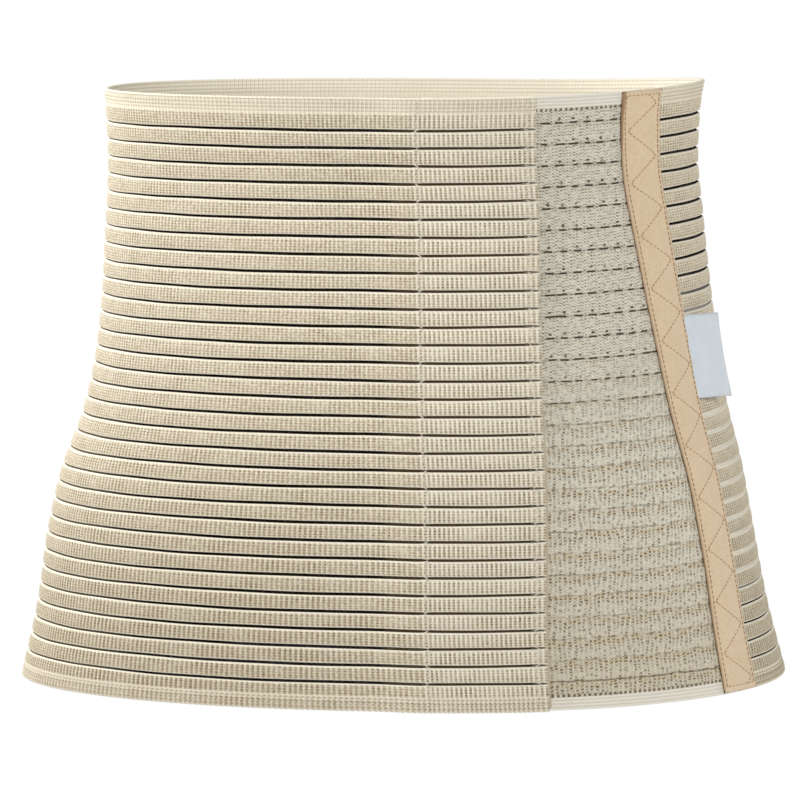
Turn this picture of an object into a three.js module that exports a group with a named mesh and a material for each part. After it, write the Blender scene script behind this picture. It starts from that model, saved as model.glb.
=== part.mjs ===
// Abdominal binder: a ribbed elastic wrap that closes at the front, standing open as it is worn.
// Millimetres, +Z up. The belly faces -Y and the seam tape is on the +X side.
// The origin is the middle of the hollow at the waist, its narrowest level.
import * as THREE from "three";

const HEIGHT = 240; // top edge to hem
const TOP_ABOVE_WAIST = 30;
const SIDE_RISE = 3.9; // how much higher the +X side sits

// The hollow at the waist and at the hem.
const WAIST_WIDTH = 235.4;
const WAIST_DEPTH = 160.8;
const HEM_WIDTH = 308.9;
const HEM_DEPTH = 214.8;
const HEM_ASIDE = 0.35; // the middle of the hem lies this far to the -X side
const HEM_BEHIND = 5; // and this far behind the middle of the waist
const TURN = 360; // degrees

const ELASTIC = 1.6;
const PANEL = 1.5;
const PATCH = 1.2;
const TAPE = 1.0;
const LABEL = 1.0;
const CLEAR = 0.3; // left between layers that are sewn face to face

const SLITS = 32;
const SLIT_HEIGHT = 1.0;
const FIRST_SLIT = 12.9; // top edge to the middle of the first slit
const LAST_SLIT = 11.4; // hem to the middle of the last slit
const WELT = 5.9; // height of the edge band above the first rib

const PATCH_WIDTH = 47.6;
const SEAM_WIDTH = 3; // the zigzag seam at the hidden side of the hook patch
const END_HEM = 6; // solid strip at the free end of the elastic
const TAPE_WIDTH = 19.5;
const BACK_TIE = 4; // solid strip down the middle of the back
const RAMP = 24; // the elastic lifts over the patch within this length
const PATCH_INSET = 2; // the patch stops short of the edges of the elastic

const LABEL_WIDTH = 18;
const LABEL_HEIGHT = 33.5;
const LABEL_DOWN = 90.5; // top edge of the wrap to the top of the label
const LABEL_LIFT = 13; // degrees it stands off the wrap

// Half sizes of the hollow from the origin.
const WAIST = {
  left: WAIST_WIDTH / 2,
  right: WAIST_WIDTH / 2,
  front: WAIST_DEPTH / 2,
  back: WAIST_DEPTH / 2,
};
const HEM = {
  left: HEM_WIDTH / 2 + HEM_ASIDE,
  right: HEM_WIDTH / 2 - HEM_ASIDE,
  front: HEM_DEPTH / 2 - HEM_BEHIND,
  back: HEM_DEPTH / 2 + HEM_BEHIND,
};

// Sections from the top edge to the hem. down is a share of the height. The half sizes are given
// as growth from the waist, 0, to the hem, 1. squareLeft and squareRight are the corner exponents
// of the oval, where 2 is an ellipse.
const SECTIONS = [
  { down: 0.0, left: 0.038, right: 0.075, front: 0.045, back: 0.12, squareLeft: 2.3, squareRight: 2.12 },
  { down: 0.05, left: 0.016, right: 0.02, front: 0.01, back: 0.06, squareLeft: 2.3, squareRight: 2.15 },
  { down: 0.125, left: 0.0, right: 0.0, front: 0.0, back: 0.0, squareLeft: 2.3, squareRight: 2.2 },
  { down: 0.23, left: 0.03, right: 0.06, front: 0.136, back: 0.06, squareLeft: 2.28, squareRight: 2.28 },
  { down: 0.333, left: 0.065, right: 0.13, front: 0.32, back: 0.19, squareLeft: 2.25, squareRight: 2.36 },
  { down: 0.438, left: 0.137, right: 0.215, front: 0.52, back: 0.34, squareLeft: 2.2, squareRight: 2.44 },
  { down: 0.542, left: 0.286, right: 0.32, front: 0.7, back: 0.53, squareLeft: 2.14, squareRight: 2.46 },
  { down: 0.646, left: 0.539, right: 0.49, front: 0.82, back: 0.72, squareLeft: 2.1, squareRight: 2.4 },
  { down: 0.75, left: 0.695, right: 0.62, front: 0.91, back: 0.875, squareLeft: 2.08, squareRight: 2.32 },
  { down: 0.875, left: 0.817, right: 0.78, front: 0.98, back: 0.97, squareLeft: 2.06, squareRight: 2.24 },
  { down: 1.0, left: 1.0, right: 1.0, front: 1.0, back: 1.0, squareLeft: 2.05, squareRight: 2.2 },
];

// Where the free end and the middle of the seam tape run, in degrees round from the front.
const LINES = [
  { down: 0.0, freeEnd: 28.9, tapeMiddle: 55.4 },
  { down: 0.15, freeEnd: 28.8, tapeMiddle: 56.7 },
  { down: 0.3, freeEnd: 27.5, tapeMiddle: 59.3 },
  { down: 0.45, freeEnd: 26.1, tapeMiddle: 62.0 },
  { down: 0.6, freeEnd: 25.3, tapeMiddle: 64.4 },
  { down: 0.8, freeEnd: 25.0, tapeMiddle: 65.8 },
  { down: 1.0, freeEnd: 24.3, tapeMiddle: 64.2 },
];

// A smooth reading of one column of a table at a share of the height, with no overshoot.
function read(table, column, share) {
  const last = table.length - 1;
  const slope = (i) =>
    (table[i + 1][column] - table[i][column]) / (table[i + 1].down - table[i].down);
  const tangent = (i) => {
    if (i === 0) return slope(0);
    if (i === last) return slope(last - 1);
    const before = slope(i - 1);
    const after = slope(i);
    return before * after <= 0 ? 0 : (2 * before * after) / (before + after);
  };
  let i = 0;
  while (i < last - 1 && share > table[i + 1].down) i++;
  const span = table[i + 1].down - table[i].down;
  const t = (share - table[i].down) / span;
  const ease = t * t * (3 - 2 * t);
  const out = t * (1 - t) * (1 - t) * span * tangent(i);
  const back = t * t * (1 - t) * span * tangent(i + 1);
  return table[i][column] * (1 - ease) + table[i + 1][column] * ease + out - back;
}

const degrees = (d) => (d * Math.PI) / 180;

// A point of the wrap: degrees round from the front, millimetres down from the top edge, and
// millimetres outward from the face that touches the body.
function place(angle, down, outward) {
  const share = down / HEIGHT;
  const s = Math.sin(degrees(angle));
  const c = Math.cos(degrees(angle));
  const side = s < 0 ? "left" : "right";
  const facing = c > 0 ? "front" : "back";
  const half = (name) => WAIST[name] + (HEM[name] - WAIST[name]) * read(SECTIONS, name, share);
  const power = read(SECTIONS, s < 0 ? "squareLeft" : "squareRight", share);
  const across = Math.pow(Math.abs(s), 2 / power);
  const along = Math.pow(Math.abs(c), 2 / power);
  const wide = half(side);
  const deep = half(facing);
  const normal = new THREE.Vector2(
    (Math.sign(s) * Math.pow(across, power - 1)) / wide,
    (-Math.sign(c) * Math.pow(along, power - 1)) / deep,
  ).normalize();
  const rise = SIDE_RISE * Math.pow(Math.max(s, 0), 3);
  return new THREE.Vector3(
    Math.sign(s) * across * wide + normal.x * outward,
    -Math.sign(c) * along * deep + normal.y * outward,
    TOP_ABOVE_WAIST - down + rise,
  );
}

// The angle reached from another angle after a length of cloth, at one height.
function walk(angle, length, down) {
  const step = Math.sign(length) * 0.5;
  let left = Math.abs(length);
  let here = place(angle, down, 0);
  let at = angle;
  for (;;) {
    const next = place(at + step, down, 0);
    const run = Math.hypot(next.x - here.x, next.y - here.y);
    if (run >= left) return at + (step * left) / run;
    left -= run;
    at += step;
    here = next;
  }
}

const freeEnd = (down) => TURN + read(LINES, "freeEnd", down / HEIGHT);
const tapeMiddle = (down) => read(LINES, "tapeMiddle", down / HEIGHT);
const hookSeam = (down) => walk(freeEnd(down), -PATCH_WIDTH, down);

// The stops round the wrap that all pieces share, so that their faces stay parallel. Each is an
// angle that depends on the height. The free end is a full turn past the tape.
const stop = {
  panelEdge: (down) => walk(tapeMiddle(down), -CLEAR / 2, down),
  elasticEdge: (down) => walk(tapeMiddle(down), CLEAR / 2, down),
  tapeLeft: (down) => walk(tapeMiddle(down), -TAPE_WIDTH / 2, down),
  tapeRight: (down) => walk(tapeMiddle(down), TAPE_WIDTH / 2, down),
  backOne: (down) => walk(180, -BACK_TIE / 2, down),
  backTwo: (down) => walk(180, BACK_TIE / 2, down),
  rightBack: () => 117,
  leftBack: () => 242,
  leftFront: () => 300,
  rampFoot: (down) => walk(hookSeam(down), -RAMP, down),
  hookSeam,
  seamInner: (down) => walk(hookSeam(down), SEAM_WIDTH, down),
  endHem: (down) => walk(freeEnd(down), -END_HEM, down),
  patchEdge: (down) => walk(freeEnd(down), -PATCH_INSET / 2, down),
  freeEnd,
};

// Stations between stops: pairs of a stop and the number of steps that lead to it.
function stations(first, ...legs) {
  const list = [{ name: first, angle: stop[first] }];
  let from = first;
  for (const [to, steps] of legs) {
    const a = stop[from];
    const b = stop[to];
    for (let i = 1; i <= steps; i++) {
      const t = i / steps;
      const angle = (down) => a(down) * (1 - t) + b(down) * t;
      list.push({ name: i === steps ? to : "", leg: to, angle });
    }
    from = to;
  }
  return list;
}

// A closed sheet on a grid of stations and rows. solid says which cells are filled, and inner and
// outer give the two faces as points.
function sheet(columns, rows, inner, outer, solid = () => true) {
  const wide = columns.length;
  const points = [];
  for (const face of [inner, outer])
    for (const row of rows) for (const column of columns) points.push(...face(column, row).toArray());
  const layer = wide * rows.length;
  const at = (i, j, face) => face * layer + j * wide + i;
  const index = [];
  const quad = (a, b, c, d) => index.push(a, b, c, a, c, d);
  const filled = (i, j) =>
    i >= 0 && j >= 0 && i < wide - 1 && j < rows.length - 1 && solid(columns[i + 1], j);
  for (let j = 0; j < rows.length - 1; j++)
    for (let i = 0; i < wide - 1; i++) {
      if (!filled(i, j)) continue;
      quad(at(i, j, 1), at(i, j + 1, 1), at(i + 1, j + 1, 1), at(i + 1, j, 1));
      quad(at(i, j, 0), at(i + 1, j, 0), at(i + 1, j + 1, 0), at(i, j + 1, 0));
      if (!filled(i, j - 1)) quad(at(i, j, 0), at(i, j, 1), at(i + 1, j, 1), at(i + 1, j, 0));
      if (!filled(i, j + 1))
        quad(at(i, j + 1, 1), at(i, j + 1, 0), at(i + 1, j + 1, 0), at(i + 1, j + 1, 1));
      if (!filled(i - 1, j)) quad(at(i, j, 0), at(i, j + 1, 0), at(i, j + 1, 1), at(i, j, 1));
      if (!filled(i + 1, j))
        quad(at(i + 1, j, 1), at(i + 1, j + 1, 1), at(i + 1, j + 1, 0), at(i + 1, j, 0));
    }
  const used = new Map();
  const kept = [];
  const packed = index.map((v) => {
    if (!used.has(v)) {
      used.set(v, kept.length / 3);
      kept.push(points[3 * v], points[3 * v + 1], points[3 * v + 2]);
    }
    return used.get(v);
  });
  const geometry = new THREE.BufferGeometry();
  geometry.setAttribute("position", new THREE.Float32BufferAttribute(kept, 3));
  geometry.setIndex(packed);
  geometry.computeVertexNormals();
  return geometry;
}

// Even rows from one height to another.
const evenRows = (from, to, steps) =>
  Array.from({ length: steps + 1 }, (_, i) => from + ((to - from) * i) / steps);

// The two faces of a layer whose inner face lies at a lift that may change along the stations.
const faces = (lift, thickness) => [
  (column, row) => place(column.angle(row), row, lift(column)),
  (column, row) => place(column.angle(row), row, lift(column) + thickness),
];

const binder = new THREE.Group();
binder.name = "abdominal_binder";

function add(name, geometry, colour, roughness) {
  const material = new THREE.MeshStandardMaterial({ color: colour, roughness });
  material.name = name + "_cloth";
  const mesh = new THREE.Mesh(geometry, material);
  mesh.name = name;
  binder.add(mesh);
}

// Elastic wrap: one band from under the tape, round the back, to the free end over the panel.
// Its slits are cut through and stop at the tape, the middle of the back, the seam and the hem.
const overPatch = PANEL + PATCH + 2 * CLEAR;
const band = stations(
  "elasticEdge",
  ["tapeRight", 1],
  ["rightBack", 5],
  ["backOne", 4],
  ["backTwo", 1],
  ["leftBack", 4],
  ["leftFront", 6],
  ["rampFoot", 4],
  ["hookSeam", 2],
  ["seamInner", 1],
  ["endHem", 4],
  ["freeEnd", 1],
);
const pitch = (HEIGHT - FIRST_SLIT - LAST_SLIT) / (SLITS - 1);
const bandRows = [0, WELT];
for (let k = 0; k < SLITS; k++) {
  const middle = FIRST_SLIT + k * pitch;
  bandRows.push(middle - SLIT_HEIGHT / 2, middle + SLIT_HEIGHT / 2);
}
bandRows.push(HEIGHT);
const tied = ["tapeRight", "backTwo", "seamInner", "freeEnd"];
const isSlit = (j) => j >= 2 && j % 2 === 0 && j < bandRows.length - 1;
const liftOf = (column) => {
  if (["seamInner", "endHem", "freeEnd"].includes(column.leg)) return overPatch;
  if (column.leg !== "hookSeam") return 0;
  return column.name === "hookSeam" ? overPatch : overPatch / 2;
};
add(
  "elastic_wrap",
  sheet(
    band,
    bandRows,
    ...faces(liftOf, ELASTIC),
    (column, j) => !isSlit(j) || tied.includes(column.leg),
  ),
  0xdcd2bd,
  0.9,
);

// Loop panel: the knit sheet that the free end fastens on, from under the tape to behind the patch.
const panelRows = evenRows(0, HEIGHT, 17);
stop.seamInnerLow = (down) => stop.seamInner(down) - TURN;
stop.endHemLow = (down) => stop.endHem(down) - TURN;
stop.freeEndLow = (down) => stop.freeEnd(down) - TURN;
add(
  "loop_panel",
  sheet(
    stations(
      "seamInnerLow",
      ["endHemLow", 4],
      ["freeEndLow", 1],
      ["tapeLeft", 4],
      ["panelEdge", 1],
    ),
    panelRows,
    ...faces(() => 0, PANEL),
  ),
  0xb9b09d,
  0.95,
);

// Hook patch: sewn to the inside of the free end, it grips the panel.
add(
  "hook_patch",
  sheet(
    stations("hookSeam", ["seamInner", 1], ["endHem", 4], ["patchEdge", 1]),
    evenRows(PATCH_INSET, HEIGHT - PATCH_INSET, 17),
    ...faces(() => PANEL + CLEAR, PATCH),
  ),
  0x8f8672,
  0.8,
);

// Seam tape: covers the butt of the panel and the elastic.
stop.tapeMiddle = tapeMiddle;
add(
  "seam_tape",
  sheet(
    stations("tapeLeft", ["tapeMiddle", 1], ["tapeRight", 1]),
    panelRows,
    ...faces(() => Math.max(PANEL, ELASTIC) + CLEAR, TAPE),
  ),
  0xcbb699,
  0.85,
);

// Label: a bare tab held in the edge of the tape and standing off the wrap.
const labelFace = (above) => (column, row) => {
  const down = LABEL_DOWN + row * LABEL_HEIGHT;
  const angle = walk(stop.tapeRight(down), CLEAR, down);
  const foot = place(angle, down, ELASTIC + CLEAR);
  const out = place(angle, down, ELASTIC + CLEAR + 1).sub(foot);
  const along = new THREE.Vector3(-out.y, out.x, 0);
  const lift = degrees(LABEL_LIFT);
  return foot
    .addScaledVector(along, column.share * LABEL_WIDTH * Math.cos(lift) - above * Math.sin(lift))
    .addScaledVector(out, column.share * LABEL_WIDTH * Math.sin(lift) + above * Math.cos(lift));
};
add(
  "label",
  sheet(
    [0, 0.33, 0.67, 1].map((share) => ({ share, leg: "" })),
    evenRows(0, 1, 4),
    labelFace(0),
    labelFace(LABEL),
  ),
  0xc7ced0,
  0.8,
);

export default binder;
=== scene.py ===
import math

import bmesh
import bpy
import numpy as np
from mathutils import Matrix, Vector


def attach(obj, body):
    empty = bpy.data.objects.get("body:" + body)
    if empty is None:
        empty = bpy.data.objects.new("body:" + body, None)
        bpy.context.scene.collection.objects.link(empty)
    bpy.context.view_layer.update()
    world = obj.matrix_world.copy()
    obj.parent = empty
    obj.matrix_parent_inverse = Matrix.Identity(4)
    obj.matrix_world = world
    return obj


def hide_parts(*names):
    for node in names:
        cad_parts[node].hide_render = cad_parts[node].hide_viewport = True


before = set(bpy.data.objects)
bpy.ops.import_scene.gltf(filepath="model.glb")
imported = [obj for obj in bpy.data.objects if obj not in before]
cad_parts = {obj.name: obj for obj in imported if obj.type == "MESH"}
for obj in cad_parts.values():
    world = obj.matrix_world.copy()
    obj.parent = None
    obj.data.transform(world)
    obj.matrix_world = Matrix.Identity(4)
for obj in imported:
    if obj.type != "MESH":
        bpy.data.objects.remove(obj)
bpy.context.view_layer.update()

# Camera: a long lens at the height of the middle of the wrap, a little to its right and looking
# slightly down, so that the tape and the far top edge show as they do in a catalogue picture.
aim = Vector((-0.0012, 0.0, -0.0969))
turn, tilt, reach = math.radians(7.0), math.radians(5.4), 2.7
camera = bpy.data.objects.new("camera", bpy.data.cameras.new("camera"))
bpy.context.scene.collection.objects.link(camera)
away = Vector((math.sin(turn) * math.cos(tilt), -math.cos(turn) * math.cos(tilt), math.sin(tilt)))
camera.location = aim + away * reach
camera.rotation_euler = (math.pi / 2 - tilt, 0.0, turn)
camera.data.lens = 299.0
camera.data.sensor_width = 36.0
camera.data.clip_end = 100.0
bpy.context.scene.camera = camera

# Floor and light: a round pale floor well below the wrap, which hangs free as if worn, a white
# backdrop that gives little light of its own, a soft light from the upper left, a weaker one from
# the right, and one on each side from behind that brightens the edges.
floor_radius, floor_level = 2.1, -0.7
bm = bmesh.new()
bmesh.ops.create_circle(bm, cap_ends=True, segments=96, radius=floor_radius)
bmesh.ops.translate(bm, verts=bm.verts, vec=(0, 0, floor_level))
ground = bpy.data.meshes.new("floor")
bm.to_mesh(ground)
bm.free()
floor = bpy.data.objects.new("floor", ground)
bpy.context.scene.collection.objects.link(floor)
floor_paint = bpy.data.materials.new("pale_floor")
floor_paint.use_nodes = True
paint = floor_paint.node_tree.nodes["Principled BSDF"]
paint.inputs["Base Color"].default_value = (0.93, 0.93, 0.93, 1)
paint.inputs["Roughness"].default_value = 0.9
ground.materials.append(floor_paint)

room = bpy.data.worlds.new("room")
room.use_nodes = True
sky = room.node_tree
backdrop = sky.nodes["Background"]
backdrop.inputs["Color"].default_value = (1.0, 1.0, 1.0, 1)
backdrop.inputs["Strength"].default_value = 1.0
glow = sky.nodes.new("ShaderNodeBackground")
glow.inputs["Color"].default_value = (0.95, 0.97, 1.0, 1)
glow.inputs["Strength"].default_value = 0.27
seen = sky.nodes.new("ShaderNodeLightPath")
choice = sky.nodes.new("ShaderNodeMixShader")
sky.links.new(seen.outputs["Is Camera Ray"], choice.inputs[0])
sky.links.new(glow.outputs[0], choice.inputs[1])
sky.links.new(backdrop.outputs[0], choice.inputs[2])
sky.links.new(choice.outputs[0], sky.nodes["World Output"].inputs["Surface"])
bpy.context.scene.world = room
bpy.context.scene.view_settings.view_transform = "Standard"

lights = [
    # name, azimuth and height in degrees, distance, width, power
    ("key", -64.0, 40.0, 1.2, 0.6, 13.2),
    ("fill", 36.0, 20.0, 2.6, 1.2, 34.0),
    ("left edge", -120.0, 26.0, 1.6, 0.6, 20.0),
    ("right edge", 114.0, 16.0, 2.0, 0.7, 7.0),
]
for name, azimuth, height, distance, width, power in lights:
    lamp = bpy.data.lights.new(name, "AREA")
    lamp.shape, lamp.size, lamp.energy = "DISK", width, power
    stand = bpy.data.objects.new(name, lamp)
    a, h = math.radians(azimuth), math.radians(height)
    way = Vector((math.sin(a) * math.cos(h), -math.cos(a) * math.cos(h), math.sin(h)))
    stand.location = aim + way * distance
    stand.rotation_euler = way.to_track_quat("Z", "Y").to_euler()
    bpy.context.scene.collection.objects.link(stand)

# Ribbed elastic: one woven band, worn stretched from under the seam tape round the back to its free
# end at the front. Upright cords stand between flat edges on each rib, and the ribs are joined
# by a ladder of thin threads that leaves see-through slits. Lengths are in millimetres.
HEIGHT, TOP, SIDE_RISE = 240.0, 30.0, 3.9
WAIST = {"left": 117.7, "right": 117.7, "front": 80.4, "back": 80.4}
HEM = {"left": 154.8, "right": 154.1, "front": 102.4, "back": 112.4}
SECTION_COLUMNS = ["down", "left", "right", "front", "back", "square_left", "square_right"]
SECTIONS = np.array([
    [0.0, 0.038, 0.075, 0.045, 0.12, 2.3, 2.12],
    [0.05, 0.016, 0.02, 0.01, 0.06, 2.3, 2.15],
    [0.125, 0.0, 0.0, 0.0, 0.0, 2.3, 2.2],
    [0.23, 0.03, 0.06, 0.136, 0.06, 2.28, 2.28],
    [0.333, 0.065, 0.13, 0.32, 0.19, 2.25, 2.36],
    [0.438, 0.137, 0.215, 0.52, 0.34, 2.2, 2.44],
    [0.542, 0.286, 0.32, 0.7, 0.53, 2.14, 2.46],
    [0.646, 0.539, 0.49, 0.82, 0.72, 2.1, 2.4],
    [0.75, 0.695, 0.62, 0.91, 0.875, 2.08, 2.32],
    [0.875, 0.817, 0.78, 0.98, 0.97, 2.06, 2.24],
    [1.0, 1.0, 1.0, 1.0, 1.0, 2.05, 2.2],
])
LINE_COLUMNS = ["down", "free_end", "tape_middle"]
LINES = np.array([
    [0.0, 28.9, 55.4],
    [0.15, 28.8, 56.7],
    [0.3, 27.5, 59.3],
    [0.45, 26.1, 62.0],
    [0.6, 25.3, 64.4],
    [0.8, 25.0, 65.8],
    [1.0, 24.3, 64.2],
])
# Thickness of the sheets and the gap between two of them, then widths, measured along the cloth.
ELASTIC, PANEL, PATCH, CLEAR = 1.6, 1.5, 1.2, 0.3
PATCH_WIDTH, END_HEM, TAPE_WIDTH, RAMP = 47.6, 6.0, 19.5, 24.0
OVER_PATCH = PANEL + PATCH + 2 * CLEAR
SLITS, FIRST_SLIT, LAST_SLIT = 32, 12.9, 11.4
TOP_BAND, HEM_BAND, HEM_BAND_FLAT = 5.9, 5.6, 5.0


def smooth_reading(table, names, name, share):
    """One column of a table at shares of the height, smooth and with no overshoot."""
    at, value = table[:, 0], table[:, names.index(name)]
    span, slope = np.diff(at), np.diff(value) / np.diff(at)
    tangent = np.empty(len(at))
    tangent[0], tangent[-1] = slope[0], slope[-1]
    before, after = slope[:-1], slope[1:]
    both = np.where(before * after > 0, before + after, 1.0)
    tangent[1:-1] = np.where(before * after > 0, 2 * before * after / both, 0.0)
    i = np.clip(np.searchsorted(at, share) - 1, 0, len(span) - 1)
    t = (share - at[i]) / span[i]
    ease = t * t * (3 - 2 * t)
    bend = t * (1 - t) ** 2 * tangent[i] - t * t * (1 - t) * tangent[i + 1]
    return value[i] * (1 - ease) + value[i + 1] * ease + bend * span[i]


def on_wrap(angle, down, outward):
    """Points of the wrap: degrees round from the front, down from the top edge, and outward."""
    angle, down, outward = np.broadcast_arrays(
        np.asarray(angle, float), np.asarray(down, float), np.asarray(outward, float))
    share = np.clip(down / HEIGHT, -0.01, 1.01)
    s, c = np.sin(np.radians(angle)), np.cos(np.radians(angle))

    def half(name):
        return WAIST[name] + (HEM[name] - WAIST[name]) * smooth_reading(
            SECTIONS, SECTION_COLUMNS, name, share)

    wide = np.where(s < 0, half("left"), half("right"))
    deep = np.where(c > 0, half("front"), half("back"))
    power = np.where(
        s < 0,
        smooth_reading(SECTIONS, SECTION_COLUMNS, "square_left", share),
        smooth_reading(SECTIONS, SECTION_COLUMNS, "square_right", share))
    across, along = np.abs(s) ** (2 / power), np.abs(c) ** (2 / power)
    out_x = np.sign(s) * across ** (power - 1) / wide
    out_y = -np.sign(c) * along ** (power - 1) / deep
    size = np.hypot(out_x, out_y)
    rise = SIDE_RISE * np.maximum(s, 0) ** 3
    return np.stack([
        np.sign(s) * across * wide + out_x / size * outward,
        -np.sign(c) * along * deep + out_y / size * outward,
        TOP - down + rise], -1)


LAP = np.arange(-90.0, 421.0)


def run_along(ring):
    """The length of cloth from the first of a level row of points to each of them."""
    return np.concatenate([[0.0], np.cumsum(np.hypot(*np.diff(ring[:, :2], axis=0).T))])


def walk(angle, length, down):
    """The angle reached from an angle after a length of cloth at one height."""
    run = run_along(on_wrap(LAP, down, 0.0))
    return np.interp(np.interp(angle, LAP, run) + length, run, LAP)


def between(start, stop, shares, down):
    """Angles at even shares of the cloth between two angles at one height."""
    run = run_along(on_wrap(LAP, down, 0.0))
    first, last = np.interp([start, stop], LAP, run)
    return np.interp(first + (last - first) * np.asarray(shares), run, LAP)


def line(name, down):
    """Degrees from the front to one of the upright lines at one height."""
    return float(smooth_reading(LINES, LINE_COLUMNS, name, np.clip(down / HEIGHT, 0, 1)))


def free_end(down):
    """Where the elastic ends, once round and on to the front again."""
    return 360.0 + line("free_end", down)


def loft(name, tubes, weave):
    """One mesh from closed strips. Each is a grid of points: rows round it, columns along it."""
    bm = bmesh.new()
    for tube in tubes:
        rows, columns = tube.shape[:2]
        bmesh.ops.create_grid(bm, x_segments=columns - 1, y_segments=rows, size=1.0)
    mesh = bpy.data.meshes.new(name)
    bm.to_mesh(mesh)
    bm.free()
    closed = [np.concatenate([tube, tube[:1]]) for tube in tubes]
    patterns = [np.concatenate([part, part[:1]]) for part in weave]
    points = np.concatenate([tube.reshape(-1, 3) for tube in closed])
    mesh.vertices.foreach_set("co", (points * 0.001).astype(np.float32).ravel())
    pattern = mesh.attributes.new("weave", "FLOAT_VECTOR", "POINT")
    values = np.concatenate([part.reshape(-1, 3) for part in patterns])
    pattern.data.foreach_set("vector", values.astype(np.float32).ravel())
    flat = []
    for k, tube in enumerate(closed):
        rows, columns = tube.shape[:2]
        u, v = np.meshgrid(np.linspace(0.002, 0.998, columns), np.linspace(0.01, 0.99, rows))
        flat.append(np.stack([u, (k + v) / len(tubes)], -1).reshape(-1, 2))
    flat = np.concatenate(flat)
    corner = np.empty(len(mesh.loops), np.int32)
    mesh.loops.foreach_get("vertex_index", corner)
    mesh.uv_layers.new(name="cloth").data.foreach_set("uv", flat[corner].astype(np.float32).ravel())
    bm = bmesh.new()
    bm.from_mesh(mesh)
    bm.verts.ensure_lookup_table()
    seam, start = [], 0
    for tube in closed:
        rows, columns = tube.shape[:2]
        seam += bm.verts[start:start + columns]
        seam += bm.verts[start + (rows - 1) * columns:start + rows * columns]
        start += rows * columns
    bmesh.ops.remove_doubles(bm, verts=seam, dist=1e-7)
    bmesh.ops.holes_fill(bm, edges=[e for e in bm.edges if e.is_boundary], sides=0)
    bmesh.ops.recalc_face_normals(bm, faces=bm.faces)
    bm.to_mesh(mesh)
    bm.free()
    mesh.shade_smooth()
    piece = bpy.data.objects.new(name, mesh)
    bpy.context.scene.collection.objects.link(piece)
    return piece


class Level:
    """A number that changes over a cloth, for sums in its shader."""

    def __init__(self, cloth, socket):
        self.cloth, self.socket = cloth, socket

    def __add__(self, other):
        return self.cloth.math("ADD", self, other)

    def __sub__(self, other):
        return self.cloth.math("SUBTRACT", self, other)

    def __rsub__(self, other):
        return self.cloth.math("SUBTRACT", other, self)

    def __mul__(self, other):
        return self.cloth.math("MULTIPLY", self, other)

    def __pow__(self, other):
        return self.cloth.math("POWER", self, other)

    __radd__, __rmul__ = __add__, __mul__


class Cloth:
    """A cloth's material: its nodes, its sums and its last joining to the shader."""

    def __init__(self, name):
        self.material = bpy.data.materials.new(name)
        self.material.use_nodes = True
        self.tree = self.material.node_tree
        self.shader = self.tree.nodes["Principled BSDF"]

    def node(self, kind, settings, inputs):
        made = self.tree.nodes.new(kind)
        for key, value in settings.items():
            setattr(made, key, value)
        for key, value in inputs.items():
            if isinstance(value, Level):
                self.tree.links.new(value.socket, made.inputs[key])
            elif isinstance(value, bpy.types.NodeSocket):
                self.tree.links.new(value, made.inputs[key])
            else:
                made.inputs[key].default_value = value
        return made

    def math(self, operation, *values):
        made = self.node("ShaderNodeMath", {"operation": operation}, dict(enumerate(values)))
        return Level(self, made.outputs[0])

    def wave(self, level, phase=0.0):
        """0 to 1 and back, once for each whole number of level, with its top at the phase."""
        return self.math("COSINE", (level - phase) * (2 * math.pi)) * 0.5 + 0.5

    def step(self, level, low, high):
        made = self.node("ShaderNodeMapRange", {"interpolation_type": "SMOOTHSTEP"},
                         {"Value": level, "From Min": low, "From Max": high})
        return Level(self, made.outputs["Result"])

    def weave(self):
        made = self.node("ShaderNodeAttribute", {"attribute_name": "weave"}, {})
        parts = self.node("ShaderNodeSeparateXYZ", {}, {0: made.outputs["Vector"]})
        return [Level(self, parts.outputs[k]) for k in range(3)]

    def place(self):
        return self.node("ShaderNodeTexCoord", {}, {}).outputs["Object"]

    def across_and_up(self):
        parts = self.node("ShaderNodeSeparateXYZ", {}, {0: self.place()})
        return [Level(self, parts.outputs[k]) for k in (0, 2)]

    def noise(self, where, size, detail=2.0):
        made = self.node("ShaderNodeTexNoise", {},
                         {"Vector": where, "Scale": 1.0 / size, "Detail": detail})
        return Level(self, made.outputs["Fac"])

    def join(self, x, y, z):
        return self.node("ShaderNodeCombineXYZ", {}, {0: x, 1: y, 2: z}).outputs[0]

    def mix(self, share, one, other):
        made = self.node("ShaderNodeMix", {"data_type": "RGBA"}, {0: share, 6: one, 7: other})
        return made.outputs[2]

    def dress(self, colour, roughness, height, depth, sheen=0.0, specular=0.25):
        self.tree.links.new(colour, self.shader.inputs["Base Color"])
        self.tree.links.new(roughness.socket, self.shader.inputs["Roughness"])
        bump = self.node("ShaderNodeBump", {}, {"Distance": depth, "Height": height})
        bump.inputs["Strength"].default_value = 1.0
        self.tree.links.new(bump.outputs[0], self.shader.inputs["Normal"])
        self.shader.inputs["Sheen Weight"].default_value = sheen
        self.shader.inputs["Sheen Roughness"].default_value = 0.5
        self.shader.inputs["Specular IOR Level"].default_value = specular
        return self.material


def dye(red, green, blue):
    """A colour as read off a screen, 0 to 255, made linear."""
    return tuple(((v / 255 + 0.055) / 1.055) ** 2.4 if v > 10 else v / 3295
                 for v in (red, green, blue)) + (1.0,)


WALES_FREE, WALES_PATCH, WALES_HEM = 312, 23, 3
WALE_PHASES = [0.08, 0.42, 0.74]
WALE_RELIEF = np.array([0.12, 0.12, -0.42])
# Rows round one rib: share of its height, outward, and how much of the cords' relief shows, which
# is below 0 on the shaded walls of the slits and on the inner face.
RIB_ROWS = [
    (0.03, 0.0, -0.42), (0.0, 0.85, -1.0), (0.07, 1.68, 0.0), (0.2, 1.62, 1.0), (0.5, 1.74, 1.0),
    (0.86, 1.62, 1.0), (0.95, 1.66, 0.0), (1.0, 0.85, -1.0), (0.97, 0.0, -0.42),
]
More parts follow.
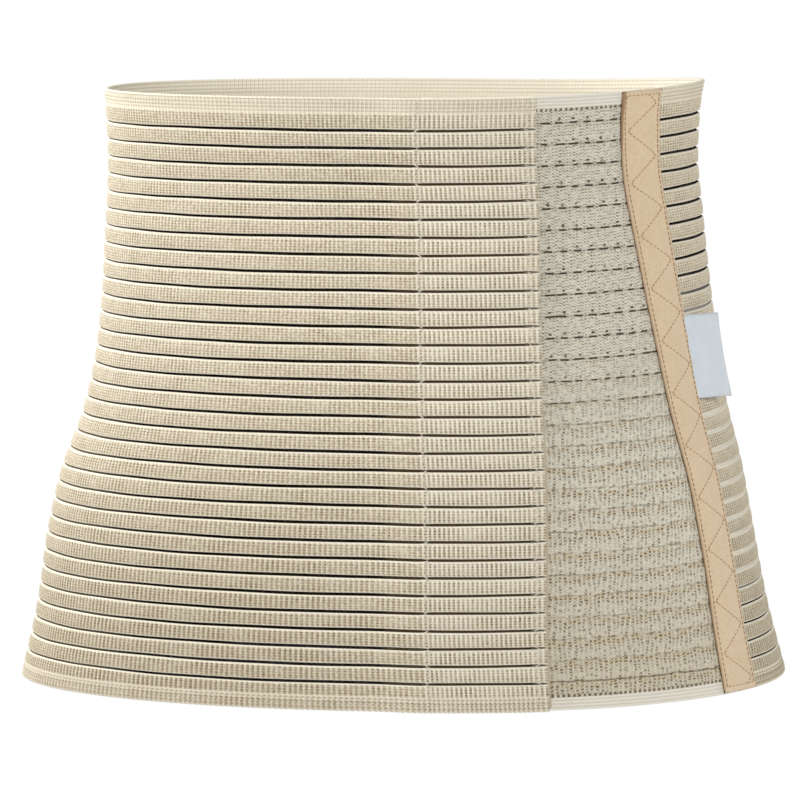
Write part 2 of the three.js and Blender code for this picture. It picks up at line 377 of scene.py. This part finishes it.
# The edge bands: millimetres from the rim, outward, and relief, below 0 for painted shade at the rim
# and inner face.
TOP_WELT = [
    (0.2, 0.0, -0.42), (0.0, 0.9, -0.45), (0.45, 1.75, 0.1), (1.05, 1.45, 0.5), (1.7, 1.75, 0.3),
    (2.35, 1.45, 0.5), (3.0, 1.75, 0.3), (3.65, 1.45, 0.5), (4.3, 1.75, 0.3), (5.2, 1.35, 0.4),
    (TOP_BAND, 1.66, 0.12),
]
HEM_WELT = [
    (0.2, 0.0, -0.42), (0.0, 0.9, -0.4), (0.5, 1.7, 0.1), (1.1, 1.35, 0.9), (1.9, 1.75, 0.6),
    (2.5, 1.35, 0.9), (3.3, 1.75, 0.6), (3.9, 1.35, 0.9), (4.7, 1.72, 0.3), (5.4, 1.45, 0.4),
]

hidden = np.linspace(0.0, 1.0, 5)[:-1]
free = np.concatenate([(k + np.array(WALE_PHASES)) / WALES_FREE for k in range(WALES_FREE)])
over = np.concatenate([(k + np.array(WALE_PHASES)) / WALES_PATCH for k in range(WALES_PATCH)])
last = np.concatenate([(k + np.array(WALE_PHASES)) / WALES_HEM for k in range(WALES_HEM)])
last = np.append(last, 1.0)
wale = np.concatenate([
    hidden - 1.0, free * WALES_FREE, WALES_FREE + over * WALES_PATCH,
    WALES_FREE + WALES_PATCH + last * WALES_HEM])
relief = np.concatenate([
    np.zeros(len(hidden)), np.tile(WALE_RELIEF, WALES_FREE + WALES_PATCH + WALES_HEM), [0.0]])
relief[-9:] *= 0.35
in_hem = np.concatenate([
    np.zeros(len(hidden) + len(free) + len(over)), np.ones(len(last))])


def band_angles(down):
    """The angle of each column of the elastic at one height."""
    tape, end = line("tape_middle", down), free_end(down)
    start = float(walk(tape, 0.2, down))
    right = float(walk(tape, TAPE_WIDTH / 2, down))
    seam = float(walk(end, -PATCH_WIDTH, down))
    hem = float(walk(end, -END_HEM, down))
    return np.concatenate([
        between(start, right, hidden, down), between(right, seam, free, down),
        between(seam, hem, over, down), between(hem, end, last, down)])


LEVELS = np.linspace(0.0, HEIGHT, 61)
band_table = np.array([band_angles(d) for d in LEVELS])
seam_table = np.array([[float(walk(free_end(d), -PATCH_WIDTH - RAMP, d)),
                        float(walk(free_end(d), -PATCH_WIDTH, d))] for d in LEVELS])


def band_point(down, outward):
    """Points of one row of the elastic, down and outward given for each column."""
    place = np.clip(down / HEIGHT * (len(LEVELS) - 1), 0, len(LEVELS) - 1.001)
    low = place.astype(int)
    part, columns = place - low, np.arange(len(wale))
    angle = band_table[low, columns] * (1 - part) + band_table[low + 1, columns] * part
    foot, top = (seam_table[low, k] * (1 - part) + seam_table[low + 1, k] * part for k in (0, 1))
    t = np.clip((angle - foot) / (top - foot), 0, 1)
    lift = OVER_PATCH * t * t * (3 - 2 * t)
    return on_wrap(angle, down, outward + lift)


PITCH = (HEIGHT - FIRST_SLIT - LAST_SLIT) / (SLITS - 1)
angles = band_table[len(LEVELS) // 2]
turned = np.where(angles > 180, angles - 360, angles)


def slit(k):
    """Middle and height of slit k for each column: widest at the front, nearly shut at the sides."""
    middle = FIRST_SLIT + k * PITCH
    sag = 0.09 * np.sin(angles * 0.11 + k * 1.7) + 0.06 * np.sin(angles * 0.31 + k * 2.9)
    front = np.exp(-(((turned + 8) / 36) ** 2))
    tall = 0.36 + 0.52 * front
    left = np.clip((-turned - 52) / 24, 0, 1) * np.clip((turned + 150) / 30, 0, 1)
    tall = tall - 0.3 * left * math.exp(-(((middle - 40) / 70) ** 2))
    right = np.exp(-(((turned - 85) / 30) ** 2))
    shut = min(max((middle - 84) / 50, 0), 1)
    tall = tall + right * (0.42 - 0.5 * shut)
    tall = np.where(in_hem > 0, np.interp(wale, [335.0, 337.2], [0.8, 0.3]), np.clip(tall, 0.12, 1.4))
    seam_gap = np.exp(-(((wale - WALES_FREE - 0.8) / 0.8) ** 2))
    return middle + sag, tall * (1 - 0.4 * seam_gap)


def rib(k):
    """Points and weave of rib k."""
    above = slit(k - 1) if k > 0 else None
    below = slit(k) if k < SLITS else None
    top = above[0] + above[1] / 2 if above else np.zeros(len(wale))
    foot = below[0] - below[1] / 2 if below else np.full(len(wale), HEIGHT)
    if k == 0:
        crest = 0.16 * np.cos(wale * 4 * math.pi)
        rows = [(mm + crest * (mm < 0.1), out, share) for mm, out, share in TOP_WELT]
        rows += [(TOP_BAND + (foot - TOP_BAND) * v, out, s) for v, out, s in RIB_ROWS[3:]]
    elif k == SLITS:
        stop = HEIGHT - HEM_BAND
        rows = [(top + (stop - top) * v, out, s) for v, out, s in RIB_ROWS[:-2]]
        rows += [(HEIGHT - mm, out, s) for mm, out, s in reversed(HEM_WELT)]
    else:
        rows = [(top + (foot - top) * v, out, s) for v, out, s in RIB_ROWS]
    points, weave = [], []
    for down, out, share in rows:
        down = np.broadcast_to(down, wale.shape)
        raised = 0.0 if out < 1.0 else relief * share
        points.append(band_point(down, out + raised))
        weave.append(np.stack([wale, down, np.full(len(wale), share)], -1))
    return np.array(points), np.array(weave)


def painted_backlit_slits(cloth, across, upward):
    """1 at the lower right, where the slits are painted pale as if lit from behind, and 0 elsewhere.
    """
    return cloth.step(across, 0.085, 0.1) * cloth.step(0 - upward, 0.04, 0.08) * (
        1 - cloth.step(0 - upward, 0.158, 0.172))


elastic = Cloth("ribbed_elastic")
cords, down_mm, shown = elastic.weave()
where = elastic.place()
face = elastic.math("MAXIMUM", shown, 0.0)
wall = elastic.step(0 - shown, 0.3, 0.8)
over_patch = elastic.step(cords, WALES_FREE - 0.5, WALES_FREE + 0.5)
in_top = 1 - elastic.step(down_mm, 5.5, 6.3)
in_foot = elastic.step(down_mm, HEIGHT - 5.8, HEIGHT - 5.2)
bar = elastic.step(elastic.wave(cords, 0.25), 0.25, 0.8)
rung = elastic.step(elastic.wave(down_mm * 0.93, 0.2), 0.3, 0.8)
slub = elastic.noise(elastic.join(cords * 1.3, down_mm * 1.1, 0.0), 1.0, 3.0)
drift = elastic.noise(elastic.join(cords * 0.16, down_mm * 0.14, 5.0), 1.0, 2.0)
patchy = elastic.noise(where, 0.03, 2.0)
fibre = elastic.noise(where, 0.0004, 2.0)
grain = elastic.step(elastic.noise(where, 0.0009, 3.0), 0.4, 0.64)
in_rib = elastic.math("FRACT", (down_mm - FIRST_SLIT) * (1 / PITCH) + 8.0)
shaded = elastic.step(in_rib, 0.3, 0.92) * face
# Painted shade: the face of the elastic darkens towards the bottom, less so near the patch, with
# fuller valleys and fainter rungs there.
low_painted_shade = elastic.step(down_mm, 100.0, 220.0) * face * (
    1 - elastic.step(cords, WALES_FREE - 34.0, WALES_FREE + 6.0) * 0.8)
depth = 0.5 + over_patch * 0.1 + low_painted_shade * 0.16 + (drift - 0.5) * 1.1 + (slub - 0.5) * 1.3
depth = elastic.math("MAXIMUM", depth, 0.1)
# Painted shade in the valleys between the cords, broken by the lighter rungs.
valley = (1 - bar) * face * elastic.math("MINIMUM", depth, 1.0)
deep = elastic.mix(rung * (0.85 - low_painted_shade * 0.4), dye(112, 92, 64), dye(204, 189, 162))
light = elastic.mix(patchy, dye(222, 212, 190), dye(231, 223, 203))
light = elastic.mix(grain * face * 0.7, light, dye(184, 170, 143))
light = elastic.mix((1 - rung) * face * (0.3 - 0.16 * low_painted_shade), light, dye(170, 154, 126))
light = elastic.mix(over_patch * face * 0.5, light, dye(242, 234, 216))
# Painted shade on the lower part of each rib, below its lit top.
light = elastic.mix(shaded * 0.26, light, dye(168, 154, 128))
light = elastic.mix(low_painted_shade * 0.36, light, dye(160, 147, 122))
# Painted highlight on the smooth lips at the top and foot of each rib.
light = elastic.mix((1 - face) * 0.3, light, dye(238, 231, 215))
cloth_colour = elastic.mix(valley, light, deep)
rows_of_dots = elastic.wave(down_mm * 0.66, 0.62) ** 3.0 * elastic.wave(cords * 2.0)
squares = elastic.wave(down_mm * 0.55, 0.1) * elastic.wave(cords)
cloth_colour = elastic.mix(rows_of_dots * in_top * 0.8, cloth_colour, dye(150, 128, 96))
cloth_colour = elastic.mix(squares * in_foot * 0.8, cloth_colour, dye(150, 130, 98))
across, upward = elastic.across_and_up()
# Painted light: at the lower right the slit walls are painted pale, as if light came through from
# behind.
pale = painted_backlit_slits(elastic, across, upward)
painted_slit_shade = elastic.mix(pale * 0.9, dye(24, 18, 11), dye(236, 231, 218))
# Painted light: the slit walls are lighter on the lit left of the wrap.
painted_light_left = 1 - elastic.step(across + upward * -0.17 + 0.12, 0.004, 0.03)
painted_slit_shade = elastic.mix(painted_light_left * 0.55, painted_slit_shade, dye(138, 122, 94))
# Painted shade on the slit walls and the inner face, a little lighter over the patch.
cloth_colour = elastic.mix(wall * (1 - over_patch * 0.2), cloth_colour, painted_slit_shade)
twist = elastic.wave(cords + down_mm * 1.15)
height = bar * 0.4 + twist * 0.14 * bar + rung * valley * 0.35 + fibre * 0.3 + grain * face * -0.2
elastic_cloth = elastic.dress(
    cloth_colour, 0.82 + 0.12 * fibre, height, 0.00024, sheen=0.05, specular=0.05)

groups = [range(0, 7), range(7, 14), range(14, 21), range(21, 27), range(27, 33)]
for number, group in enumerate(groups):
    made = [rib(k) for k in group]
    piece = loft(f"elastic_ribs_{number + 1}", [m[0] for m in made], [m[1] for m in made])
    piece.data.materials.append(elastic_cloth)
    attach(piece, "root")
    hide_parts("elastic_wrap")
    bands = (TOP_BAND if 0 in group else 0) + (HEM_BAND_FLAT if SLITS in group else 0)
    tall = (len(group) * PITCH + bands) * 0.001

# Ladder threads: the bare threads that cross each slit and hold the ribs together. They lie back
# in the slit and are drawn so close that it looks filled. Their colour is painted shade, dark in most
# slits, lighter behind the panel and on the lit left, and painted pale light at the lower right.
rung_columns = np.arange(len(hidden), len(wale) - len(last))
thread_share = 0.985
bm = bmesh.new()
spots = []
for k in range(SLITS):
    middle, tall = slit(k)
    back = np.full(len(wale), 0.7)
    edges = [band_point(middle - tall / 2 - 0.4, back), band_point(middle + tall / 2 + 0.4, back)]
    bmesh.ops.create_grid(bm, x_segments=2 * len(rung_columns) - 1, y_segments=1, size=1.0)
    for edge in edges:
        near, step = edge[rung_columns], edge[rung_columns + 1] - edge[rung_columns]
        spots.append(np.stack([near, near + step * thread_share], 1).reshape(-1, 3))
mesh = bpy.data.meshes.new("ladder_threads")
bm.to_mesh(mesh)
bm.free()
mesh.vertices.foreach_set("co", (np.concatenate(spots) * 0.001).astype(np.float32).ravel())
bm = bmesh.new()
bm.from_mesh(mesh)
run = 2 * len(rung_columns) - 1
bm.faces.ensure_lookup_table()
bmesh.ops.delete(bm, geom=[f for f in bm.faces if f.index % run % 2 == 1], context="FACES")
bmesh.ops.recalc_face_normals(bm, faces=bm.faces)
bm.to_mesh(mesh)
bm.free()
ladder = bpy.data.objects.new("ladder_threads", mesh)
bpy.context.scene.collection.objects.link(ladder)
yarn = Cloth("ladder_thread")
fuzz = yarn.noise(yarn.place(), 0.0006, 2.0)
across, upward = yarn.across_and_up()
# Painted shade of the slits on the threads, with painted light on the left and at the lower right.
tint = yarn.mix(fuzz, dye(11, 8, 5), dye(28, 22, 14))
behind = yarn.step(across, 0.003, 0.008) * (1 - yarn.step(across, 0.058, 0.064))
tint = yarn.mix(behind * 0.85, tint, dye(84, 68, 46))
tint = yarn.mix((1 - yarn.step(across, -0.125, -0.095)) * 0.75, tint, dye(170, 154, 122))
tint = yarn.mix(painted_backlit_slits(yarn, across, upward) * 0.95, tint, dye(252, 250, 244))
mesh.materials.append(yarn.dress(tint, 0.8 + 0.1 * fuzz, fuzz, 0.0001, specular=0.05))
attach(ladder, "root")
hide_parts("elastic_wrap")

# Hook patch: a stiff tape with hooks on its inner face, sewn inside the free end. Only its pale
# cut edge shows, along the lower half of the free end and through the slits.
patch_rows = np.linspace(1.2, HEIGHT - 1.2, 60)
patch_turns = np.linspace(0.0, 1.0, 16)


def patch_edge(down):
    """How far the patch runs past the free end, less than nothing in the upper half."""
    share = np.clip((down / HEIGHT - 0.42) / 0.12, 0, 1)
    return -0.8 + 2.0 * share * share * (3 - 2 * share)


def folded(outer, inner):
    """The two faces of a sheet as one strip that runs round its level section."""
    return np.concatenate([outer.transpose(1, 0, 2), inner.transpose(1, 0, 2)[::-1]])


def flat_strip(downs, angles_at, inner, outer, edge_round=0.35):
    """Points and weave of a plain sheet, its outer face and then its inner one."""
    points, weave = [], []
    for side in (1, 0):
        for down in downs:
            turns = np.asarray(angles_at(down))
            mm = run_along(on_wrap(turns, down, 0.0))
            out = np.full(len(turns), outer if side else inner)
            if side:
                out[[0, -1]] -= edge_round
            else:
                out[[0, -1]] += edge_round * 0.5
            end = down in (downs[0], downs[-1])
            out = out + ((-edge_round if side else edge_round * 0.5) if end else 0.0)
            points.append(on_wrap(turns, down, out))
            weave.append(np.stack([mm, np.full(len(turns), down), np.full(len(turns), side)], -1))
    return [np.array(part).reshape(2, len(downs), -1, 3) for part in (points, weave)]


def patch_angles(down):
    """The angle of each column of the patch at one height."""
    end = free_end(down)
    seam = float(walk(end, -PATCH_WIDTH + 0.2, down))
    return between(seam, float(walk(end, patch_edge(down), down)), patch_turns, down)


points, weave = flat_strip(patch_rows, patch_angles, PANEL + CLEAR, PANEL + CLEAR + PATCH)
patch = loft("hook_patch_tape", [folded(*points)], [folded(*weave)])
hook = Cloth("hook_tape")
mm, down_mm, outer = hook.weave()
grain = hook.noise(hook.place(), 0.0005, 2.0)
studs = hook.wave(mm * 0.8) * hook.wave(down_mm * 0.8) * (1 - outer)
tone = hook.mix(grain, dye(172, 158, 132), dye(198, 186, 162))
patch.data.materials.append(hook.dress(tone, 0.55 + 0.2 * grain, studs + grain * 0.3, 0.0003))
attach(patch, "root")
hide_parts("hook_patch")

# Loop panel: a brushed knit that the hooks grip, in courses with a drawn-in line every 8.4 mm and
# small openings beside it. It is sewn under the tape and runs left behind the free end.
LINE_STEP, FIRST_LINE, SEAM_WIDTH = 8.38, 10.9, 3.0
panel_down = np.linspace(0.0, HEIGHT, 560)


def panel_angles(down, columns):
    """The angle of each column of the panel: behind the elastic, in sight, and under the tape."""
    end, tape = free_end(down) - 360.0, line("tape_middle", down)
    start = float(walk(end, -PATCH_WIDTH + SEAM_WIDTH, down))
    left = float(walk(tape, -TAPE_WIDTH / 2, down))
    return np.concatenate([
        between(start, end - 0.8, np.linspace(0, 1, 9)[:-1], down),
        between(end - 0.8, left, np.linspace(0, 1, columns), down),
        between(left, float(walk(tape, -0.2, down)), np.linspace(0, 1, 4)[1:], down)])


def panel_face(columns, outward):
    """Points and weave of one face of the panel, its outward place given by a function."""
    points, weave = [], []
    for down in panel_down:
        turns = panel_angles(down, columns)
        mm = run_along(on_wrap(turns, down, 0.0))
        mm -= mm[8]
        points.append(on_wrap(turns, down, outward(down, mm)))
        weave.append(np.stack([mm, np.full(len(turns), down), np.full(len(turns), columns > 20)], -1))
    return np.array(points), np.array(weave)


def knitted(down, mm):
    """How far out the knit stands: pillows between the drawn-in lines, fine ridges at its rims."""
    if down in (panel_down[0], panel_down[-1]):
        return PANEL - 0.5
    if down < 4.6:
        return PANEL + 0.09 * math.cos(2 * math.pi * (down - 0.45) / 1.35)
    if down > HEIGHT - 4.6:
        return PANEL + 0.1 * math.cos(2 * math.pi * (HEIGHT - down - 0.5) / 1.5)
    from_line = (down - FIRST_LINE) / LINE_STEP
    off = (from_line - round(from_line)) * LINE_STEP
    uneven = 0.75 + 0.25 * np.sin(mm * 1.3 + 2.1 * round(from_line))
    groove = 0.34 - 0.24 * min(max((down - 90) / 60, 0), 1)
    return PANEL + 0.12 * math.cos(2 * math.pi * (from_line - 0.5)) - (
        groove * math.exp(-((off / 0.34) ** 2)) * uneven)


front_face, front_weave = panel_face(44, knitted)
back_face, back_weave = panel_face(8, lambda down, mm: 0.0)
panel = loft("loop_panel_knit", [folded(front_face, back_face)], [folded(front_weave, back_weave)])
knit = Cloth("loop_knit")
mm, down_mm, _ = knit.weave()
where = knit.place()
fibre = knit.noise(where, 0.0004, 3.0)
tuft = knit.noise(where, 0.0016, 3.0)
wander = knit.noise(where, 0.008, 2.0)
# Millimetres from row to row, and between the openings of a row in the upper and lower part.
WEFT, STACK, SPOTS = 1.2, 2.93, 2.0
slant = 1 - knit.step(down_mm, 90.0, 150.0)
low = 1 - slant
frayed = (fibre - 0.5) * 1.1
sway = (knit.noise(where, 0.022, 1.0) - 0.5) * 3.2
ripple = (knit.noise(knit.join(mm * 0.17, down_mm * 0.08, 1.0), 1.0, 2.0) - 0.5) * (1.6 + 2.8 * low)
pick = knit.noise(knit.join(mm * 0.45, down_mm * 0.62, 3.0), 1.0, 2.0)
bold = knit.step(pick, 0.4, 0.58)
column = mm * (1 / STACK) + (wander - 0.5) * 0.5
row = (down_mm + sway + ripple) * (1 / WEFT) - mm * (0.02 + 0.24 * slant)
streak = knit.step(knit.wave(row) + frayed * 1.3, 0.35, 0.95) * knit.step(
    knit.wave(column, 0.5) + frayed, 0.1, 0.6)
hole = knit.step(knit.wave(row, 0.4) + frayed * 0.7, 0.5, 0.85) * knit.step(
    knit.wave(column) + frayed * 0.5, 0.74, 0.94)
upper = knit.math("MAXIMUM", streak * (0.28 + 0.4 * bold), hole * (0.25 + 0.75 * bold))
course = (down_mm - FIRST_LINE) * (1 / LINE_STEP)
swayed = knit.math("FRACT", course + (sway + ripple) * 0.1 + 40.0)
belt = knit.step(swayed, 0.04, 0.12) * (1 - knit.step(swayed, 0.34, 0.66))
golden = knit.step(swayed, 0.02, 0.1) * (1 - knit.step(swayed, 0.2, 0.36)) * low
across = mm * (1 / SPOTS) + (wander - 0.5) * 1.8
spot = knit.step(knit.wave(across) + frayed * 0.8, 0.2, 0.56) * knit.step(
    knit.wave(row) + frayed * 0.7, 0.28, 0.68)
loose = 0.16 + 0.7 * knit.step(pick, 0.47, 0.6)
lower = spot * (belt * (0.42 + 0.58 * bold) + (1 - belt) * loose)
strokes = upper + (lower - upper) * low
inside = knit.step(down_mm, 4.8, 5.4) * (1 - knit.step(down_mm, HEIGHT - 5.4, HEIGHT - 4.8))
strokes = strokes * inside
thread = knit.step(knit.wave(row, 0.5) + frayed, 0.45, 0.95) * inside
dash = knit.noise(knit.join(mm * 0.2, knit.math("ROUND", course) * 7.3, 0.0), 1.0, 1.0)
dash = knit.step(knit.wave(mm * (1 / (2 * STACK))) + (dash - 0.5) * 2.2, 0.3, 0.62)
near_line = knit.step(knit.wave(course + ripple * 0.05), 0.972, 0.996) * inside
drawn = near_line * (dash * (0.12 + 0.88 * slant) + 0.34 * low * bold + 0.1 + 0.22 * slant + (
    0.6 * knit.step(down_mm, 226.0, 231.0)))
drawn = knit.math("MINIMUM", drawn, 1.0)
dots = knit.step(knit.wave(course, -0.19), 0.97, 0.99) * knit.step(
    knit.wave(mm * (1 / (2 * STACK))), 0.82, 0.95) * slant * knit.step(pick, 0.4, 0.5) * inside
below = knit.step(knit.wave(course, 0.16), 0.95, 0.99) * knit.step(
    knit.wave(mm * (2 / STACK)) + frayed, 0.4, 0.8) * slant * bold * inside
rim_mm = knit.math("MINIMUM", down_mm, HEIGHT - down_mm)
first = knit.step(knit.wave(rim_mm * (1 / 240), 5.7 / 240), 0.99991, 0.99998) * knit.step(
    knit.wave(mm * (1 / 2.1) + (wander - 0.5)) + frayed * 0.5, 0.3, 0.7)
body = knit.mix(tuft, dye(200, 193, 174), dye(234, 228, 212))
body = knit.mix(knit.step(down_mm, 150.0, 235.0) * 0.5, body, dye(196, 184, 158))
body = knit.mix((1 - inside) * 0.8, body, dye(230, 225, 212))
rims = knit.wave(down_mm * (1 / 1.35), 0.83) * (1 - inside)
body = knit.mix(rims * 0.4, body, dye(172, 165, 146))
body = knit.mix(thread * (0.16 + 0.26 * low), body, dye(158, 148, 122))
body = knit.mix(golden * bold * inside * 0.45, body, dye(196, 168, 118))
body = knit.mix(below * 0.55, body, dye(168, 142, 94))
body = knit.mix(strokes * 0.92, body, knit.mix(slant, dye(106, 84, 50), dye(100, 92, 70)))
body = knit.mix(first * 0.85, body, dye(84, 70, 48))
body = knit.mix(dots * 0.9, body, dye(62, 50, 34))
body = knit.mix(drawn * 0.97, body, knit.mix(low * 0.8, dye(62, 50, 34), dye(116, 96, 64)))
height = tuft * 0.4 + fibre * 0.3 - strokes * 0.9 - drawn * 0.8 - dots * 0.8
panel.data.materials.append(knit.dress(body, 0.85 + 0.1 * fibre, height, 0.0003, 0.2))
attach(panel, "root")
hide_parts("loop_panel")

# Seam tape: a soft twill tape folded over the butt of the panel and the elastic, with a line of
# stitches along each edge and a zigzag between them.
TAPE = 1.0
tape_rows = np.linspace(0.2, HEIGHT - 0.6, 160)
tape_turns = np.array([-1, -0.97, -0.86, -0.7, -0.45, -0.2, 0, 0.2, 0.45, 0.7, 0.86, 0.97, 1])


def tape_side(down, share):
    """The angle of a place across the tape, from -1 at its left edge to 1 at its right one."""
    return float(walk(line("tape_middle", down), share * TAPE_WIDTH / 2, down))


def tape_angles(down):
    """The angle of each column of the tape at one height."""
    return [tape_side(down, share) for share in tape_turns]


points, weave = flat_strip(tape_rows, tape_angles, ELASTIC + CLEAR, ELASTIC + CLEAR + TAPE, 0.55)
stitched = np.interp(tape_turns, [-1, -0.86, -0.6, 0.6, 0.86, 1], [0, -0.16, 0.1, 0.1, -0.16, 0])
tape_grid = np.array([tape_angles(d) for d in tape_rows])
tape_out = on_wrap(tape_grid, tape_rows[:, None], 1.0) - on_wrap(tape_grid, tape_rows[:, None], 0.0)
puffed = 1 + 0.35 * np.sin(tape_rows * 0.62)[:, None]
points[0] += tape_out * (stitched * puffed)[..., None]
tape = loft("seam_tape_twill", [folded(*points)], [folded(*weave)])
twill = Cloth("woven_tape")
mm, down_mm, _ = twill.weave()
where = twill.place()
fibre = twill.noise(where, 0.0003, 2.0)
shade = twill.noise(where, 0.006, 3.0)
warp = twill.wave(mm * 1.9 + down_mm * 1.1)
tone = twill.mix(shade, dye(213, 190, 157), dye(223, 202, 172))
tone = twill.mix(warp * 0.2, tone, dye(196, 168, 130))
mottled = twill.step(twill.noise(where, 0.0012, 3.0), 0.42, 0.62)
tone = twill.mix(mottled * 0.26, tone, dye(198, 168, 130))
side = twill.math("PINGPONG", mm * (1 / TAPE_WIDTH), 0.5) * TAPE_WIDTH
# Painted shadow: a brown line along the left edge of the tape, from the top down to about 24 mm.
painted_gap_shadow = (1 - twill.step(mm + down_mm * 0.05, 1.1, 1.7)) * (1 - twill.step(down_mm, 20.0, 28.0))
tone = twill.mix(painted_gap_shadow * 0.75, tone, dye(146, 102, 62))
# Painted shade along both edges of the tape.
tone = twill.mix((1 - twill.step(side, 0.0, 0.7)) * 0.55, tone, dye(150, 112, 74))
height = warp * 0.5 + fibre * 0.5
tape.data.materials.append(twill.dress(tone, 0.8 + 0.1 * fibre, height, 0.00012, sheen=0.2))
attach(tape, "root")
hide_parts("seam_tape")


def sew(name, runs, width, colour, node):
    """Stitches as short raised threads. Each run is a line of points, a stitch between each two."""
    curve = bpy.data.curves.new(name, "CURVE")
    curve.dimensions, curve.bevel_depth, curve.bevel_resolution = "3D", width * 0.0005, 1
    curve.use_fill_caps = True
    for run, outs in runs:
        for a, b, out in zip(run[:-1], run[1:], outs):
            thread = curve.splines.new("POLY")
            thread.points.add(3)
            stops = [(0.18, -0.2), (0.3, 0.1), (0.7, 0.1), (0.82, -0.2)]
            for point, (t, up) in zip(thread.points, stops):
                point.co = (*((a * (1 - t) + b * t + out * up) * 0.001), 1.0)
    rig = bpy.data.objects.new(name, curve)
    bpy.context.scene.collection.objects.link(rig)
    mesh = bpy.data.meshes.new_from_object(rig.evaluated_get(bpy.context.evaluated_depsgraph_get()))
    bpy.data.objects.remove(rig)
    mesh.name = name
    mesh.shade_smooth()
    piece = bpy.data.objects.new(name, mesh)
    bpy.context.scene.collection.objects.link(piece)
    thread = Cloth(name + "_thread")
    ply = thread.noise(thread.place(), 0.0005, 2.0)
    tint = thread.mix(ply, dye(*(0.85 * c for c in colour)), dye(*colour))
    mesh.materials.clear()
    mesh.materials.append(thread.dress(tint, 0.6 + 0.2 * ply, ply, 0.00008, 0.1))
    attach(piece, "root")
    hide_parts(node)
    return piece


def sewn_line(angle_at, downs, out, lift=0.0):
    """Points on the cloth at a list of heights, with the outward direction at each."""
    downs = np.asarray(downs, float)
    turns = np.array([angle_at(k, d) for k, d in enumerate(downs)])
    base = on_wrap(turns, downs, 0.0)
    return on_wrap(turns, downs, out + lift), on_wrap(turns, downs, 1.0) - base


tape_top = ELASTIC + CLEAR + TAPE
edge_stitches = np.arange(1.6, HEIGHT - 1.6, 2.05)
runs = [sewn_line(lambda k, d, e=e: tape_side(d, e), edge_stitches, tape_top - 0.02)
        for e in (-0.84, 0.84)]
zig = np.arange(1.8, HEIGHT - 1.8, 1.15)
leg = 10.4
zig_share = 0.74 * (2 * np.abs(2 * ((zig / (2 * leg) + 0.726) % 1.0) - 1) - 1)
runs.append(sewn_line(lambda k, d: tape_side(d, zig_share[k]), zig, tape_top + 0.06))
for d in (2.0, HEIGHT - 3.0):
    shares = np.linspace(-0.8, 0.8, 9)
    turns = np.array([tape_side(d, s) for s in shares])
    runs.append((on_wrap(turns, d, tape_top), on_wrap(turns, d, 1.0) - on_wrap(turns, d, 0.0)))
sew("tape_stitches", runs, 0.42, (186, 153, 114), "seam_tape")

# Patch stitches: a cream zigzag that sews the left edge of the hook patch through the elastic, and
# a narrower one along the hem of the free end.
cream = (232, 222, 202)
seam_zig = np.arange(1.0, HEIGHT - 1.0, 1.25)
runs = [sewn_line(
    lambda k, d: float(walk(free_end(d), -PATCH_WIDTH + SEAM_WIDTH * (0.15 + 0.7 * (k % 2)), d)),
    seam_zig, OVER_PATCH + ELASTIC + 0.12)]
runs.append(sewn_line(
    lambda k, d: float(walk(free_end(d), -END_HEM + 1.0 + 2.6 * (k % 2), d)),
    np.arange(1.0, HEIGHT - 1.0, 1.4), OVER_PATCH + ELASTIC + 0.12))
sew("patch_stitches", runs, 0.34, cream, "elastic_wrap")

# Label: a folded satin ribbon held in the edge of the tape. It is bare and stands a little off
# the wrap, curling away at its free corners.
LABEL_WIDTH, LABEL_HEIGHT, LABEL_DOWN, LABEL_LIFT, LABEL_THICK = 18.0, 33.5, 90.5, 13.0, 0.7
points, weave = [], []
shares = np.linspace(0.0, 1.0, 22)
rows = np.linspace(0.0, 1.0, 26)
for side in (1, 0):
    for r in rows:
        down = LABEL_DOWN + r * LABEL_HEIGHT
        angle = float(walk(tape_side(down, 1.0), -1.2, down))
        foot = on_wrap(angle, down, ELASTIC + CLEAR + 0.1)
        out = on_wrap(angle, down, ELASTIC + CLEAR + 1.1) - foot
        along = np.array([-out[1], out[0], 0.0])
        lift = math.radians(LABEL_LIFT)
        reach_mm = shares * (LABEL_WIDTH + 1.2)
        curl = 0.5 * shares ** 3 + 0.35 * np.sin(shares * 5.0 + r * 2.2) * shares
        curl = curl + 0.5 * (2 * r - 1) ** 2 * shares ** 2
        edge = 0.25 if r in (0.0, 1.0) else 0.0
        tall = (LABEL_THICK - edge) if side else edge
        rise = reach_mm * math.sin(lift) + curl + tall * math.cos(lift)
        rise[-1] += -0.2 if side else 0.2
        points.append(foot + along * (reach_mm * math.cos(lift))[:, None] + out * rise[:, None])
        weave.append(np.stack([reach_mm, np.full(len(shares), down), np.full(len(shares), side)], -1))
points, weave = [np.array(part).reshape(2, len(rows), -1, 3) for part in (points, weave)]
label = loft("label_ribbon", [folded(*points)], [folded(*weave)])
satin = Cloth("label_satin")
mm, down_mm, _ = satin.weave()
fine = satin.wave(down_mm * 2.6)
cloudy = satin.noise(satin.place(), 0.004, 2.0)
tone = satin.mix(cloudy, dye(198, 205, 209), dye(214, 220, 224))
tone = satin.mix(satin.wave(mm * 2.2) * 0.12, tone, dye(170, 180, 190))
height = fine * 0.6 + cloudy * 0.3
label.data.materials.append(satin.dress(tone, 0.36 + 0.14 * fine, height, 0.00006, sheen=0.3))
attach(label, "root")
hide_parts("label")
